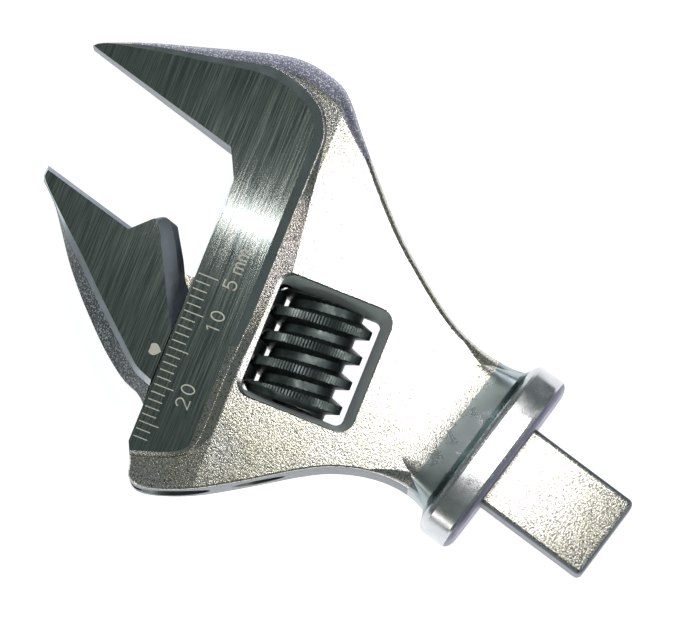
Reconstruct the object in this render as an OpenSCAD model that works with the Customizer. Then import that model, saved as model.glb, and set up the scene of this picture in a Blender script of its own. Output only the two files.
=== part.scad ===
// Adjustable wrench head with a rectangular spigot, for a torque wrench.
// +X runs from the spigot towards the jaw tips, +Y towards the movable jaw and +Z out of the front.
// The origin is the centre of the spigot's root, in the plane of the flange's shoulder.
// The slide frame is the same frame turned about Z by slide_angle: its X is p and its Y is s,
// so the movable jaw travels along s. Lengths are in millimetres.

/* [Jaws] */
// Opening between the two jaw faces, as drawn
opening = 16; // [5:1:27]
// Angle between the jaw's travel and the normal of the jaw faces
slide_angle = 15; // [14:0.5:16]
// Distance of the fixed jaw's face from the spigot's centre line
fixed_face = 11.6; // [11:0.1:12]
// Distance from the shoulder to the fixed jaw's tip
tip_reach = 76.4; // [75.5:0.1:78]

/* [Head] */
// Thickness of the rough forged head and neck
body_t = 14; // [13:0.2:15]
// Thickness between the ground lands, where they meet the rough head
land_t = 12.4; // [12:0.2:12.8]
// Slope of each ground face towards the tips
land_taper = 5.5; // [4:0.25:6]
// Slope of each rough face towards the tips, beyond the window
rough_taper = 5.6; // [4:0.2:6]
// Place of the ground lands' inner boundary in the slide frame
land_inner_p = 39.4; // [39:0.1:40]
// Place of the head's free edge, along which the movable jaw runs
land_edge_p = 47; // [46.5:0.1:47.2]

/* [Flange and spigot] */
// Width of the oval flange
flange_w = 26.5; // [25:0.5:28]
// Thickness of the oval flange
flange_t = 18; // [16:0.5:20]
// Length of the flange along the shank
flange_len = 5.2; // [4.6:0.2:6]
// Bevel on both rims of the flange
flange_bevel = 1.1; // [0.6:0.1:1.4]
// Width of the rectangular spigot
spigot_w = 12; // [11:0.5:13]
// Thickness of the rectangular spigot
spigot_t = 9; // [8.5:0.5:10]
// Length of the spigot
spigot_len = 16; // [15:0.5:20]
// Chamfer along the spigot's edges
spigot_chamfer = 0.6; // [0.3:0.1:0.9]

/* [Rack and web] */
// Radius of the round rack
rack_r = 4.5; // [4.3:0.1:4.6]
// Place of the rack's axis in the slide frame
rack_p = 39.5; // [39.4:0.05:39.6]
// Radial running clearance of the rack in its bore
rack_clearance = 0.06; // [0.03:0.01:0.1]
// Thickness of the jaw's web between the rack and the plate
web_t = 4.4; // [4:0.1:4.8]
// Gap between the web and each side of its slot
web_gap = 0.12; // [0.08:0.01:0.2]
// Gap between the jaw plate and the head's free edge
plate_gap = 0.22; // [0.15:0.01:0.3]

/* [Worm] */
// Outer radius of the worm
worm_r = 6.65; // [6.5:0.05:6.7]
// Radius at the bottom of the thread
worm_root_r = 4.9; // [4.7:0.1:5]
// Distance from one thread to the next, single start and right handed
worm_pitch = 3.5; // [3.4:0.05:3.6]
// Length of the worm
worm_len = 14.4; // [14:0.1:14.6]
// Place of the worm's axis in the slide frame
worm_p = 29.6; // [29.55:0.05:29.65]
// Radius of the plain axle that the worm turns on
axle_r = 2.2; // [2:0.1:2.4]
// Radius of the axle's screwed end
screw_r = 3; // [2.8:0.1:3.2]
// Radius of the worm spring's coil, to the middle of the wire
worm_spring_r = 2.95; // [2.9:0.05:3.1]
// Radius of the worm spring's wire
worm_wire_r = 0.3; // [0.25:0.05:0.35]

/* [Detent] */
// Radius of the sprung detent pin
detent_r = 2.2; // [2:0.1:2.4]
// Distance of the detent pin from the shoulder
detent_x = 8; // [7:0.5:9]
// Height that the detent pin stands out of the spigot
detent_stroke = 1.6; // [1.2:0.1:1.8]
// Radius of the cross pin that keeps the detent pin in
cross_pin_r = 0.75; // [0.6:0.05:0.9]

/* [Hidden] */
$fn = 64;

// Opening at which the worm and the rack are drawn in mesh without turning the worm
datum_opening = 16;
// Travel of the movable jaw from that opening
jaw_shift = (opening - datum_opening) / cos(slide_angle);
worm_turn = 360 * jaw_shift / worm_pitch;

// Window for the worm, in the slide frame: low p, high p, low s, high s
window = [22.2, 36.6, -11.4, 3.4];
window_bevel = 1.5;
window_bevel_depth = 3.2;
window_corner = 1;

// Exponent of the flange's oval: 1 is an ellipse, less is squarer
oval_power = 0.68;

// Where the wedges start that thin the neck's corners by the flange, their turn and their length
neck_corner_at = [3.5, 9.1];
neck_corner_turn = 14;
neck_corner_len = 10;

rack_s = [-16, 8.4];
bore_top_s = -28.5;
slot_top_s = -20.6;
web_top_s = -7.8;
// Corner at which the web leaves the rack, far enough along to stay in the slot when the jaw is closed
web_corner = [43.2, -9];
far = 40;

worm_mid_s = (window[2] + window[3]) / 2;
// Axial place of a thread crest on the side of the rack, measured up the worm from s = 0
crest_datum = 0.55;
crest_w = 1.25;
crest_base_w = 2.5;
mesh_gap = 0.22;
rack_root_gap = 0.3;

// Clearances round the pin, in the worm's bore, and beside and at the end of the worm's spring
pin_gap = 0.03;
worm_bore_gap = 0.06;
spring_side_gap = 0.25;
spring_end_gap = 0.08;
spring_pocket = 5;

screw_end_s = 11.2;
axle_end_s = -16;
head_slot_w = 1.1;
head_slot_depth = 1.2;

detent_face_z = -spigot_t / 2;
detent_top_z = 0.6;
detent_bore_end_z = 3;
detent_cup_r = 1.3;
detent_cup_floor_z = -3.4;
detent_mount_gap = 0.05;
detent_tip_r = 1.4;
detent_spring_r = 0.95;
detent_wire_r = 0.2;
cross_z = -1.2;
cross_bite = 0.5;
cross_pin_gap = 0.02;

// Point of a Catmull-Rom curve between b and c, with neighbours a and d
function curve_point(a, b, c, d, t) =
    0.5 * (2 * b + (c - a) * t + (2 * a - 5 * b + 4 * c - d) * t * t
    + (3 * b - a - 3 * c + d) * t * t * t);

// Smooth curve through the given points, with a number of steps between neighbours
function smooth(pts, steps = 4) = let (last = len(pts) - 1) [
    for (i = [0 : last - 1], k = [0 : steps - 1])
        curve_point(pts[max(i - 1, 0)], pts[i], pts[i + 1], pts[min(i + 2, last)], k / steps),
    pts[last]
];

// Place in the part's frame of a point given in the slide frame
function from_slide(p, s) =
    [p * cos(slide_angle) - s * sin(slide_angle), p * sin(slide_angle) + s * cos(slide_angle)];

// Back of the fixed jaw and of the neck, from the tip to the flange
back_edge = [[tip_reach, -fixed_face], [75.4, -12.8], [70.5, -16.4], [65.6, -19.5], [60.6, -22.6],
    [55.9, -25.3], [52.8, -26.5], [49.4, -26.9], [46.6, -26.6], [44, -25.2], [40.3, -22.6],
    [30.9, -16.6], [24.4, -13.4], [17.4, -10.7], [12.6, -9.9], [9, -10.1], [6.4, -10.7], [4, -11.8]];

// Edge of the heel and of the neck, from the flange to the free edge
heel_edge = [[4, 11.6], [6.5, 10.6], [10, 10.5], [14, 11.6], [18, 13.9], [21.3, 16.9], [25.8, 21.9],
    [30.3, 26.6], [34.2, 29.7], [37, 31.1], [38.7, 30.7], [39.6, 29.2], from_slide(land_edge_p, 15.4)];

// The throat is the short flat between the fixed jaw's face and the free edge
throat = [[53.8, -fixed_face], from_slide(land_edge_p, -21.2)];

head_outline = concat(smooth(back_edge), smooth(heel_edge), [throat[1], throat[0]]);

// Inner edge of the ground face behind the fixed jaw, from the tip to the land
jaw_ground_edge = [[78, -11.4], [73.1, -14], [69.3, -15.9], [63.4, -18.6], [59.8, -20.3], [56.4, -21.7],
    [54, -22.2], [51.2, -22.2], [48.4, -21.5], [46.6, -20]];

ground_outline = concat(smooth(jaw_ground_edge),
    [from_slide(land_inner_p, -29), from_slide(land_inner_p, 12.6), from_slide(land_inner_p - 0.6, 13.8),
    from_slide(land_edge_p + 3, 17.4), [far * 2, far], [far * 2, -11.4]]);

// Outline of the movable jaw's plate at the datum opening, with the 120 degree notch and its bump
movable_face_y = datum_opening - fixed_face;
bump_r = 0.8;
bump_y = movable_face_y - 3;
notch_x = 57.9;
plate_tail = from_slide(land_edge_p + plate_gap, 10);
plate_outline = concat(
    [[notch_x, movable_face_y]],
    [for (a = [-30 : -20 : -90]) [notch_x - 2.9, bump_y] + bump_r * [cos(a), sin(a)]],
    [for (a = [-90 : -18 : -144]) [notch_x - 4.2, bump_y] + bump_r * [cos(a), sin(a)]],
    [[50.2, 3.6], [48.2, 5.8], from_slide(land_edge_p + plate_gap, -6)],
    smooth([plate_tail, [44.6, 21.1], [47.2, 20.8], [51.5, 19.1], [56.1, 16.6], [58.9, 14.9],
        [62.1, 12.7], [65.5, 9.9], [68.2, 7.8], [71, 6.3]]),
    [[71.5, 5.6], [71.6, movable_face_y]]);

module on_slide() rotate([0, 0, slide_angle]) children();

// The same, shifted along the travel by the opening
module on_jaw() on_slide() translate([0, jaw_shift, 0]) children();

// Space beyond one face of the head: everything above a plane that dips towards the tips from start_p
module above_face(side, start_p, thickness, slope, behind) {
    mirror([0, 0, side])
        on_slide()
            translate([start_p, 0, thickness / 2])
                rotate([0, slope, 0])
                    translate([-behind, -far, 0]) cube([2 * far, 2 * far, far]);
}

module above_ground(side) above_face(side, land_inner_p, land_t, land_taper, far);

module above_rough(side) above_face(side, land_inner_p - 2.4, body_t, rough_taper, 0);

// One oval slice of the flange
module oval_slice(x0, x1, inset) {
    waist = flange_w / 2 - inset;
    height = flange_t / 2 - inset;
    translate([x0, 0, 0])
        rotate([90, 0, 90])
            linear_extrude(x1 - x0)
                polygon([for (a = [0 : 9 : 351])
                    [waist * sign(cos(a)) * pow(abs(cos(a)), oval_power),
                    height * sign(sin(a)) * pow(abs(sin(a)), oval_power)]]);
}

module flange() {
    oval_slice(0, flange_len, flange_bevel);
    oval_slice(flange_bevel, flange_len - flange_bevel, 0);
    oval_slice(flange_bevel / 2, flange_len - flange_bevel / 2, flange_bevel / 2);
}

// Wedge that thins one corner of the neck where it runs into the flange's oval
module neck_corner() {
    translate([neck_corner_at[0], neck_corner_at[1], body_t / 2])
        rotate([0, 0, neck_corner_turn])
            rotate([-45, 0, 0])
                translate([0, -far / 2, 0]) cube([neck_corner_len, far, far]);
}

module head() {
    difference() {
        translate([0, 0, -body_t / 2]) linear_extrude(body_t) polygon(head_outline);
        for (y = [0, 1], z = [0, 1])
            mirror([0, y, 0]) mirror([0, 0, z]) neck_corner();
    }
}

module spigot() {
    half_w = spigot_w / 2;
    half_t = spigot_t / 2;
    c = spigot_chamfer;
    intersection() {
        translate([-spigot_len, 0, 0])
            rotate([90, 0, 90])
                linear_extrude(spigot_len + 1)
                    polygon([[half_w, c - half_t], [half_w, half_t - c], [half_w - c, half_t],
                        [c - half_w, half_t], [-half_w, half_t - c], [-half_w, c - half_t],
                        [c - half_w, -half_t], [half_w - c, -half_t]]);
        translate([0, 0, -half_t])
            linear_extrude(spigot_t)
                polygon([[1, half_w], [c - spigot_len, half_w], [-spigot_len, half_w - c],
                    [-spigot_len, c - half_w], [c - spigot_len, -half_w], [1, -half_w]]);
    }
}

// Rounded rectangle in the slide frame, the size of the window plus a margin
module window_block(margin, z0, z1) {
    r = window_corner + margin / 2;
    translate([0, 0, z0]) {
        for (p = [window[0] - margin + r, window[1] + margin - r])
            for (s = [window[2] - margin + r, window[3] + margin - r])
                translate([p, s, 0]) cylinder(r = r, h = z1 - z0);
        translate([window[0] - margin + r, window[2] - margin, 0])
            cube([window[1] - window[0] + 2 * (margin - r), window[3] - window[2] + 2 * margin, z1 - z0]);
        translate([window[0] - margin, window[2] - margin + r, 0])
            cube([window[1] - window[0] + 2 * margin, window[3] - window[2] + 2 * (margin - r), z1 - z0]);
    }
}

module worm_window() {
    on_slide() {
        window_block(0, -body_t, body_t);
        for (side = [0, 1])
            mirror([0, 0, side])
                for (k = [1, 2])
                    window_block(window_bevel * k / 4, body_t / 2 - window_bevel_depth / k, body_t);
    }
}

module rack_bore() {
    bore_r = rack_r + rack_clearance;
    on_slide() {
        translate([rack_p, far, 0]) rotate([90, 0, 0]) cylinder(r = bore_r, h = far - bore_top_s);
        translate([rack_p, slot_top_s, -web_t / 2 - web_gap])
            cube([far, far - slot_top_s, web_t + 2 * web_gap]);
    }
}

module worm_axle_hole() {
    on_slide()
        translate([worm_p, 0, 0]) {
            translate([0, far, 0]) rotate([90, 0, 0]) cylinder(r = screw_r + pin_gap, h = far);
            rotate([90, 0, 0]) cylinder(r = axle_r + pin_gap, h = 0.1 - axle_end_s);
        }
}

module detent_bore() {
    translate([-detent_x, 0, detent_face_z - 1])
        cylinder(r = detent_r + detent_mount_gap, h = detent_bore_end_z - detent_face_z + 1);
    translate([-detent_x, 0, 0]) cross_pin_shape(cross_pin_gap, 1);
}

module cross_pin_shape(gap, extra) {
    translate([detent_r + cross_pin_r - cross_bite, -spigot_w / 2 - extra, cross_z])
        rotate([-90, 0, 0])
            cylinder(r = cross_pin_r + gap, h = spigot_w - 2 + extra);
}

module body() {
    color([0.66, 0.65, 0.62])
        difference() {
            union() {
                head();
                flange();
                spigot();
            }
            for (side = [0, 1]) {
                above_rough(side);
                intersection() {
                    above_ground(side);
                    translate([0, 0, -far]) linear_extrude(2 * far) polygon(ground_outline);
                }
            }
            worm_window();
            rack_bore();
            worm_axle_hole();
            detent_bore();
        }
}

// One groove between two rack teeth, at place s along the rack
module rack_groove(s) {
    reach = worm_p + worm_r + rack_root_gap;
    surface = rack_p - rack_r - 0.5;
    depth = reach - surface;
    slope = (crest_base_w - crest_w) / (worm_r - worm_root_r) / 2;
    tip_w = crest_w / 2 + mesh_gap;
    mouth_w = tip_w + slope * depth;
    lead_angle = atan(worm_pitch / (2 * PI * worm_r));
    translate([0, s, 0])
        rotate([lead_angle, 0, 0])
            translate([0, 0, -rack_r - 1])
                linear_extrude(2 * rack_r + 2)
                    polygon([[surface, -mouth_w], [reach, -tip_w], [reach, tip_w], [surface, mouth_w]]);
}

module rack() {
    first = ceil((-crest_datum - rack_s[1]) / worm_pitch) - 1;
    last = floor((-crest_datum - rack_s[0]) / worm_pitch) + 1;
    difference() {
        translate([rack_p, rack_s[1], 0])
            rotate([90, 0, 0])
                cylinder(r = rack_r, h = rack_s[1] - rack_s[0]);
        for (k = [first : last]) rack_groove(-crest_datum - k * worm_pitch);
    }
}

module web() {
    translate([0, 0, -web_t / 2])
        linear_extrude(web_t)
            polygon([[rack_p, rack_s[1]], [rack_p, web_corner[1]], web_corner,
                [land_edge_p - 0.5, web_top_s], [land_edge_p + 1.4, web_top_s],
                [land_edge_p + 1.4, rack_s[1]]]);
}

module movable_jaw() {
    color([0.28, 0.33, 0.32])
        on_jaw() {
            rotate([0, 0, -slide_angle])
                difference() {
                    translate([0, 0, -body_t / 2]) linear_extrude(body_t) polygon(plate_outline);
                    for (side = [0, 1]) above_ground(side);
                }
            rack();
            web();
        }
}

// Radius of the worm at an angle and a height, with a flat crest and a flat root
function worm_radius(a, z) = let (
        mid = (worm_r + worm_root_r) / 2,
        half = (worm_r - worm_root_r) / 2,
        wave = cos(360 * (z - crest_datum - worm_mid_s) / worm_pitch - a)
    ) mid + half * max(-1, min(1, 1.9 * wave));

module worm_thread() {
    sides = 40;
    rows = 42;
    ring = [for (i = [0 : sides - 1]) 360 * i / sides];
    points = concat(
        [for (j = [0 : rows], a = ring) let (z = worm_len * (j / rows - 0.5), r = worm_radius(a, z))
            [r * cos(a), r * sin(a), z]],
        [[0, 0, -worm_len / 2], [0, 0, worm_len / 2]]);
    low = (rows + 1) * sides;
    faces = concat(
        [for (j = [0 : rows - 1], i = [0 : sides - 1]) let (n = (i + 1) % sides)
            [j * sides + i, (j + 1) * sides + i, (j + 1) * sides + n]],
        [for (j = [0 : rows - 1], i = [0 : sides - 1]) let (n = (i + 1) % sides)
            [j * sides + i, (j + 1) * sides + n, j * sides + n]],
        [for (i = [0 : sides - 1]) [low, i, (i + 1) % sides]],
        [for (i = [0 : sides - 1]) [low + 1, rows * sides + (i + 1) % sides, rows * sides + i]]);
    polyhedron(points, faces);
}

module worm() {
    color([0.12, 0.14, 0.14])
        on_slide()
            translate([worm_p, worm_mid_s, 0])
                rotate([90, 0, 0])
                    rotate([0, 0, worm_turn])
                        difference() {
                            worm_thread();
                            cylinder(r = axle_r + worm_bore_gap, h = 2 * worm_len, center = true);
                            translate([0, 0, worm_len / 2 - spring_pocket])
                                cylinder(r = worm_spring_r + worm_wire_r + spring_side_gap, h = worm_len);
                        }
}

module worm_pin() {
    color([0.2, 0.22, 0.23])
        on_slide()
            translate([worm_p, 0, 0])
                difference() {
                    union() {
                        translate([0, screw_end_s, 0])
                            rotate([90, 0, 0])
                                cylinder(r = screw_r, h = screw_end_s - window[3] - 0.1);
                        translate([0, window[3] + 1, 0])
                            rotate([90, 0, 0])
                                cylinder(r = axle_r, h = window[3] + 1 - axle_end_s - 0.3);
                    }
                    translate([-screw_r - 1, screw_end_s - head_slot_depth, -head_slot_w / 2])
                        cube([2 * screw_r + 2, head_slot_depth + 1, head_slot_w]);
                }
}

// Coil spring along +Z from height 0, as one swept tube
module coil(radius, wire_r, height, turns) {
    sides = 8;
    per_turn = 14;
    rings = ceil(turns * per_turn);
    rise = height - 2 * wire_r;
    points = concat([for (j = [0 : rings], i = [0 : sides - 1]) let (
            a = 360 * turns * j / rings, b = 360 * i / sides, r = radius + wire_r * cos(b))
        [r * cos(a), r * sin(a), wire_r + rise * j / rings + wire_r * sin(b)]]);
    faces = concat(
        [for (j = [0 : rings - 1], i = [0 : sides - 1]) let (n = (i + 1) % sides)
            [j * sides + i, (j + 1) * sides + n, (j + 1) * sides + i]],
        [for (j = [0 : rings - 1], i = [0 : sides - 1]) let (n = (i + 1) % sides)
            [j * sides + i, j * sides + n, (j + 1) * sides + n]],
        [[for (i = [0 : sides - 1]) sides - 1 - i]],
        [[for (i = [0 : sides - 1]) rings * sides + i]]);
    polyhedron(points, faces);
}

module worm_spring() {
    pocket_floor = worm_mid_s - worm_len / 2 + spring_pocket;
    color([0.5, 0.52, 0.55])
        on_slide()
            translate([worm_p, pocket_floor - spring_end_gap, 0])
                rotate([90, 0, 0])
                    coil(worm_spring_r, worm_wire_r, pocket_floor - window[2] - 2 * spring_end_gap, 4);
}

module detent_pin() {
    nose_z = detent_face_z - detent_stroke;
    gap = detent_mount_gap;
    flat_z = cross_z - cross_pin_r - detent_stroke - 2 * gap;
    color([0.4, 0.42, 0.44])
        translate([-detent_x, 0, 0])
            difference() {
                rotate_extrude()
                    polygon([[0, nose_z], [detent_tip_r, nose_z], [detent_r, nose_z + 0.8],
                        [detent_r, detent_top_z], [detent_cup_r, detent_top_z],
                        [detent_cup_r, detent_cup_floor_z], [0, detent_cup_floor_z]]);
                translate([detent_r - cross_bite - gap, -far, flat_z])
                    cube([far, 2 * far, 2 * cross_pin_r + detent_stroke + 3 * gap]);
            }
}

module detent_spring() {
    color([0.6, 0.62, 0.65])
        translate([-detent_x, 0, detent_cup_floor_z + 0.05])
            coil(detent_spring_r, detent_wire_r, detent_bore_end_z - detent_cup_floor_z - 0.1, 6);
}

module detent_cross_pin() {
    color([0.55, 0.56, 0.58])
        translate([-detent_x, 0, 0]) cross_pin_shape(0, -0.1);
}

body();
movable_jaw();
worm();
worm_pin();
worm_spring();
detent_pin();
detent_spring();
detent_cross_pin();
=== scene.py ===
"""Visual model of the adjustable wrench head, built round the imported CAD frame.

Shapes and the camera's place are in millimetres, lights and materials in metres.
"""

import math

import bmesh
import bpy
import numpy as np
from mathutils import Matrix, Vector


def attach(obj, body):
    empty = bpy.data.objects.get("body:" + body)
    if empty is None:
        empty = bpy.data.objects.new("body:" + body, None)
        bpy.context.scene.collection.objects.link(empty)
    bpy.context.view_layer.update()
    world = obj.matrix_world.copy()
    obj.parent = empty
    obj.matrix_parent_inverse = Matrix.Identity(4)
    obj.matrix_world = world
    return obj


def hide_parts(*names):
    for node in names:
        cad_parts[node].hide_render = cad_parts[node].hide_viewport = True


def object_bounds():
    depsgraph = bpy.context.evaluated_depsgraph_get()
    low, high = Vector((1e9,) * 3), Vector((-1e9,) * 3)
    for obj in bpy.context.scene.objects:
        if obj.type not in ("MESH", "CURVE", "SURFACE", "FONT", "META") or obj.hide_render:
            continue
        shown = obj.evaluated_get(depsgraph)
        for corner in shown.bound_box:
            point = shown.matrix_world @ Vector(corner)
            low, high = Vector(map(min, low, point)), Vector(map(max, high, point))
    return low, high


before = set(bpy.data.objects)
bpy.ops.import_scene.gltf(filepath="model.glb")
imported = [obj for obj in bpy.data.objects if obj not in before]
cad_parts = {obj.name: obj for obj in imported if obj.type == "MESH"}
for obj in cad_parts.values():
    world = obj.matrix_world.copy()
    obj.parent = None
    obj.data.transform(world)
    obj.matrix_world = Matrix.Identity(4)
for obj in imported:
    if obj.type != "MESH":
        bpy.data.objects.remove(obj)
CAD_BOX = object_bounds()
MM = 0.001

# The slide frame is the part's frame turned by this angle: p across the travel, s along it
SLIDE = math.radians(15)
COS = math.cos(SLIDE)
SIN = math.sin(SLIDE)

# Faces of the fixed and movable jaws
FACE_Y = -11.6
JAW_FACE_Y = 4.4

# Forged faces: half thickness, where they begin to dip and how steeply
HALF_T = 7.0
ROUGH_P = 37.0
ROUGH_SLOPE = math.tan(math.radians(5.6))

# Ground faces: half thickness at their inner border, that border's place and their slope
LAND_HALF_T = 6.2
LAND_P = 39.4
LAND_SLOPE = math.tan(math.radians(5.5))

# The head's edge beside the jaw plate, and the plate's edge
EDGE_P = 47.0
PLATE_P = 47.22

# Rack and worm. On the rack's side, crests of the thread stand a pitch apart from s = -CREST_DATUM
RACK_P = 39.5
RACK_R = 4.5
WORM_P = 29.6
WORM_MID_S = -4.0
WORM_R = 6.65
WORM_ROOT_R = 4.9
WORM_PITCH = 3.5
WORM_LEN = 14.4
CREST_DATUM = 0.55

# A place along the travel that is past the head
FAR = 40.0


# ---------------------------------------------------------------- points and curves

def on_slide(p, s):
    """Place in the part's frame of a point of the slide frame."""
    return (p * COS - s * SIN, p * SIN + s * COS)


def at_height(p, z, s):
    """Place in the part's frame of a point of the slide frame at a height."""
    return (*on_slide(p, s), z)


def slide_p(x, y):
    """Place across the travel of a point of the part's frame."""
    return x * COS + y * SIN


def slide_s(x, y):
    """Place along the travel of a point of the part's frame."""
    return y * COS - x * SIN


def ground_z(x, y):
    """Height of the ground faces, which dip towards the tips."""
    return LAND_HALF_T - (slide_p(x, y) - LAND_P) * LAND_SLOPE


def rough_z(x, y):
    """Height of the forged faces, flat as far as ROUGH_P and dipping beyond it."""
    return HALF_T - max(0.0, slide_p(x, y) - ROUGH_P) * ROUGH_SLOPE


def smooth(points, steps):
    """Catmull-Rom curve through the points."""
    last = len(points) - 1
    curve = []
    for i in range(last):
        nearest = (max(i - 1, 0), i, i + 1, min(i + 2, last))
        a, b, c, d = (np.array(points[k], float) for k in nearest)
        for k in range(steps):
            t = k / steps
            curve.append(0.5 * (2 * b + (c - a) * t + (2 * a - 5 * b + 4 * c - d) * t ** 2
                                + (3 * b - a - 3 * c + d) * t ** 3))
    curve.append(np.array(points[last], float))
    return [tuple(c) for c in curve]


def resample(points, count):
    """The same line with this many points at even steps."""
    line = np.array(points, float)
    along = np.concatenate([[0], np.cumsum(np.linalg.norm(np.diff(line, axis=0), axis=1))])
    steps = np.linspace(0, along[-1], count)
    return [tuple(np.interp(t, along, line[:, k]) for k in range(line.shape[1])) for t in steps]


def inward(loop):
    """Unit mitred normals of a clockwise loop, pointing to its inside, and each mitre's stretch."""
    line = np.array([q[:2] for q in loop])
    ahead = np.roll(line, -1, axis=0) - line
    ahead /= np.linalg.norm(ahead, axis=1)[:, None]
    normal = np.stack([ahead[:, 1], -ahead[:, 0]], axis=1)
    mitre = normal + np.roll(normal, 1, axis=0)
    mitre /= np.linalg.norm(mitre, axis=1)[:, None]
    stretch = 1 / np.maximum(0.5, np.sum(mitre * normal, axis=1))
    return mitre * stretch[:, None]


def ramp(value, stops):
    """Piecewise linear value from a list of (place, value)."""
    return float(np.interp(value, [q[0] for q in stops], [q[1] for q in stops]))


# ---------------------------------------------------------------- meshes

def make(name, verts, faces, material=None):
    """New mesh object from millimetres, with outward normals."""
    mesh = bpy.data.meshes.new(name)
    mesh.from_pydata([[c * MM for c in v] for v in verts], [], faces)
    bm = bmesh.new()
    bm.from_mesh(mesh)
    bmesh.ops.recalc_face_normals(bm, faces=bm.faces)
    bm.to_mesh(mesh)
    bm.free()
    if material:
        mesh.materials.append(material)
    obj = bpy.data.objects.new(name, mesh)
    bpy.context.collection.objects.link(obj)
    return obj


def loft(name, rings, material=None):
    """Closed solid through rings with equal numbers of points."""
    count = len(rings[0])
    verts = [v for ring in rings for v in ring]
    faces = []
    for j in range(len(rings) - 1):
        for i in range(count):
            n = (i + 1) % count
            faces.append((j * count + i, j * count + n, (j + 1) * count + n, (j + 1) * count + i))
    faces.append(tuple(range(count)))
    faces.append(tuple(range(len(verts) - count, len(verts))))
    return make(name, verts, faces, material)


def both_sides(levels):
    """Rings of a solid that is alike above and below the mid plane, from its levels in rising order."""
    return [[(x, y, -z) for x, y, z in ring] for ring in reversed(levels)] + levels


def prism(name, loop, place, low, high, material=None):
    """Straight solid: place(u, v, w) puts a point of the loop at each end."""
    return loft(name, [[place(u, v, w) for u, v in loop] for w in (low, high)], material)


def mirrored(obj):
    """Copy of a solid on the other side of the mid plane."""
    twin = obj.copy()
    twin.data = obj.data.copy()
    twin.data.transform(Matrix.Scale(-1, 4, (0, 0, 1)))
    twin.data.flip_normals()
    bpy.context.collection.objects.link(twin)
    return twin


def combine(obj, tools, operation):
    """Boolean of obj with each tool, which is then removed."""
    for tool in tools:
        mod = obj.modifiers.new("cut", "BOOLEAN")
        mod.solver = "MANIFOLD"
        mod.operation = operation
        mod.material_mode = "TRANSFER"
        mod.object = tool
        bpy.context.view_layer.update()
        evaluated = obj.evaluated_get(bpy.context.evaluated_depsgraph_get())
        result = bpy.data.meshes.new_from_object(evaluated)
        obj.modifiers.clear()
        obj.data = result
        bpy.data.objects.remove(tool)
    return obj


WELD = 0.004 * MM
SHORTEST_EDGE = 0.002 * MM
LARGE_FLAT = 20 * MM * MM


def finish_mesh(obj, angle):
    """Welds near points and shades smooth, apart from edges over the angle or round a large flat face."""
    bm = bmesh.new()
    bm.from_mesh(obj.data)
    bmesh.ops.remove_doubles(bm, verts=bm.verts, dist=WELD)
    bmesh.ops.dissolve_degenerate(bm, dist=SHORTEST_EDGE, edges=bm.edges)
    bm.to_mesh(obj.data)
    bm.free()
    obj.data.shade_smooth()
    obj.data.set_sharp_from_angle(angle=math.radians(angle))
    flats = [face for face in obj.data.polygons if face.area > LARGE_FLAT]
    borders = {edge for face in flats for edge in face.edge_keys}
    for edge in obj.data.edges:
        if edge.key in borders:
            edge.use_edge_sharp = True
    return obj


def cylinder(name, start, end, radius, sides, material=None):
    """Round solid between two points, in millimetres."""
    a = Vector(start)
    b = Vector(end)
    turn = (b - a).to_track_quat("Z", "Y").to_matrix()
    angles = [2 * math.pi * i / sides for i in range(sides)]
    spokes = [turn @ Vector((radius * math.cos(t), radius * math.sin(t), 0)) for t in angles]
    rings = [[tuple(centre + spoke) for spoke in spokes] for centre in (a, b)]
    return loft(name, rings, material)


# ---------------------------------------------------------------- materials

def new_material(name, color, metallic, roughness):
    """Material with its shader, ready for nodes. Returns the material, its tree and its shader."""
    material = bpy.data.materials.new(name)
    material.use_nodes = True
    tree = material.node_tree
    shader = tree.nodes["Principled BSDF"]
    shader.inputs["Base Color"].default_value = (*color, 1)
    shader.inputs["Metallic"].default_value = metallic
    shader.inputs["Roughness"].default_value = roughness
    return material, tree, shader


def coords(tree, turn=0.0, scale=(1.0, 1.0, 1.0)):
    """Object coordinates turned about Z and scaled."""
    place = tree.nodes.new("ShaderNodeTexCoord")
    turned = tree.nodes.new("ShaderNodeMapping")
    turned.vector_type = "POINT"
    turned.inputs["Rotation"].default_value = (0, 0, turn)
    tree.links.new(place.outputs["Object"], turned.inputs["Vector"])
    scaled = tree.nodes.new("ShaderNodeMapping")
    scaled.inputs["Scale"].default_value = scale
    tree.links.new(turned.outputs["Vector"], scaled.inputs["Vector"])
    return scaled.outputs["Vector"]


def noise(tree, vector, scale, detail=2.0, rough=0.5):
    """Noise value at a scale per metre."""
    node = tree.nodes.new("ShaderNodeTexNoise")
    node.inputs["Scale"].default_value = scale
    node.inputs["Detail"].default_value = detail
    node.inputs["Roughness"].default_value = rough
    tree.links.new(vector, node.inputs["Vector"])
    return node.outputs["Fac"]


def mapped(tree, value, low, high, to_low, to_high):
    """Value carried from one range to another, held at its ends."""
    node = tree.nodes.new("ShaderNodeMapRange")
    node.inputs["From Min"].default_value = low
    node.inputs["From Max"].default_value = high
    node.inputs["To Min"].default_value = to_low
    node.inputs["To Max"].default_value = to_high
    tree.links.new(value, node.inputs["Value"])
    return node.outputs["Result"]


def blend_color(tree, value, first, second):
    """Colour between two, by a value from 0 to 1."""
    node = tree.nodes.new("ShaderNodeMix")
    node.data_type = "RGBA"
    node.inputs["A"].default_value = (*first, 1)
    node.inputs["B"].default_value = (*second, 1)
    tree.links.new(value, node.inputs["Factor"])
    return node.outputs["Result"]


def add_bump(tree, shader, heights):
    """Chain of bumps from (height, strength, distance in metres)."""
    last = None
    for height, strength, distance in heights:
        node = tree.nodes.new("ShaderNodeBump")
        node.inputs["Strength"].default_value = strength
        node.inputs["Distance"].default_value = distance
        tree.links.new(height, node.inputs["Height"])
        if last:
            tree.links.new(last, node.inputs["Normal"])
        last = node.outputs["Normal"]
    tree.links.new(last, shader.inputs["Normal"])


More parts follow.
